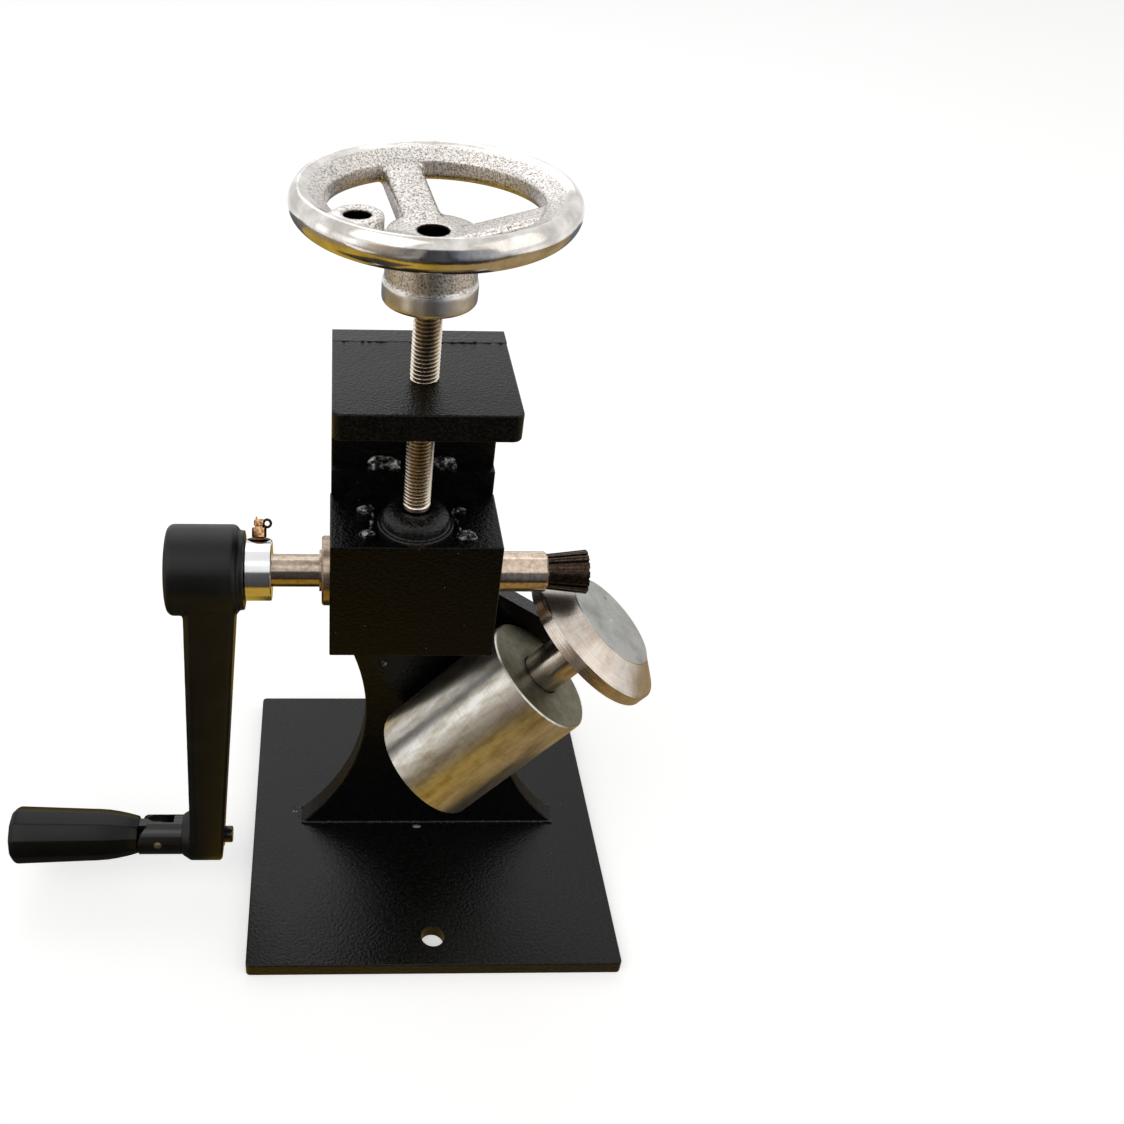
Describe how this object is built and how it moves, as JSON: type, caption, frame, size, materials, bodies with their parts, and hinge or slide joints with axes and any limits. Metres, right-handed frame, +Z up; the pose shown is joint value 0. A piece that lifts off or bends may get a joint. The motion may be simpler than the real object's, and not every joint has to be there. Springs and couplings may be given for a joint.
{
  "type": "belt embossing machine",
  "caption": "Hand-cranked belt embossing press: steel base and column, tilted free-spinning anvil disc, ribbed roller on a cranked shaft, screw-set sliding block with a handwheel.",
  "frame": {"origin": "middle of the base plate's underside", "axes": "+X along the crank shaft towards the roller, +Y to the back of the machine, +Z up"},
  "size_m": [0.3311, 0.2, 0.4016],
  "materials": {
    "black_coat": "textured satin powder coat",
    "coated_weld": "coated weld bead",
    "screw_steel": "plated",
    "turned_steel": "fine turned",
    "bearing_steel": "ground",
    "spring_steel": "oiled",
    "bronze": "machined",
    "cast_wheel": "polished rim, rough cast inside",
    "zinc_collar": "bright zinc",
    "brass_screw": "dull brass",
    "dark_roller": "dark hardened",
    "black_plastic": "satin moulded",
    "black_steel": "gloss blackened"
  },
  "bodies": {
    "frame": {"base_plate": "black_coat", "column_plate": "black_coat", "top_plate": "black_coat", "foot_welds": "black_coat", "top_plate_weld": "black_coat", "guide_plate": "black_coat", "guide_welds": "coated_weld", "dovetail_bar": "black_coat", "guide_screws": "screw_steel", "anvil_housing": "turned_steel", "housing_end_cap": "turned_steel", "housing_welds": "coated_weld", "housing_circlip": "spring_steel", "front_bearing_outer_race": "bearing_steel", "front_bearing_balls": "bearing_steel", "rear_bearing_outer_race": "bearing_steel", "rear_bearing_balls": "bearing_steel", "bearing_outer_spacer": "bearing_steel"},
    "carriage": {"bearing_block": "black_coat", "crank_side_bush": "bronze", "roller_side_bush": "bronze", "thrust_pad": "bronze", "thrust_hub": "black_coat", "hub_tack_welds": "coated_weld"},
    "screw": {"pressure_screw": "turned_steel", "handwheel": "cast_wheel", "handwheel_grub_screw": "screw_steel"},
    "crank": {"crank_shaft": "turned_steel", "shaft_circlip": "spring_steel", "crank_key": "spring_steel", "crank_arm": "black_plastic", "crank_sleeve": "turned_steel", "crank_end_screw": "screw_steel", "shaft_collar": "zinc_collar", "collar_eye_screw": "brass_screw", "embossing_roller": "dark_roller", "roller_key": "spring_steel", "roller_screw": "screw_steel", "handle_fork": "black_steel", "stud_washer": "black_steel", "fold_pin": "screw_steel"},
    "handle": {"handle_spindle": "black_steel", "grip_washer": "screw_steel", "grip_screw": "screw_steel"},
    "grip": {"grip": "black_plastic"},
    "anvil": {"anvil_spindle": "turned_steel", "anvil_disc": "turned_steel", "front_bearing_inner_race": "bearing_steel", "rear_bearing_inner_race": "bearing_steel", "bearing_inner_spacer": "bearing_steel", "spindle_circlip": "spring_steel"}
  },
  "joints": [
    {"name": "block_slide", "type": "slide", "parent": "frame", "child": "carriage", "axis": [0, 0, 1], "range_m": [-0.0025, 0.02]},
    {"name": "screw_turn", "type": "hinge", "parent": "carriage", "child": "screw", "pos_m": [-0.0188, -0.0356, 0.3], "axis": [0, 0, 1], "range_deg": [-514, 4114]},
    {"name": "crank_turn", "type": "hinge", "parent": "carriage", "child": "crank", "pos_m": [0, -0.0356, 0.222], "axis": [1, 0, 0], "continuous": true},
    {"name": "handle_fold", "type": "hinge", "parent": "crank", "child": "handle", "pos_m": [-0.1496, -0.0356, 0.036], "axis": [0, 0.9613, -0.2756], "range_deg": [0, 90]},
    {"name": "grip_spin", "type": "hinge", "parent": "handle", "child": "grip", "pos_m": [-0.19, -0.0356, 0.036], "axis": [1, 0, 0], "continuous": true},
    {"name": "anvil_spin", "type": "hinge", "parent": "frame", "child": "anvil", "pos_m": [0.04775, -0.0356, 0.15715], "axis": [0.6428, 0, 0.766], "continuous": true}
  ],
  "couplings": [
    {"joint": "block_slide", "follows": "screw_turn", "m_per_rad": 0.00027852}
  ]
}
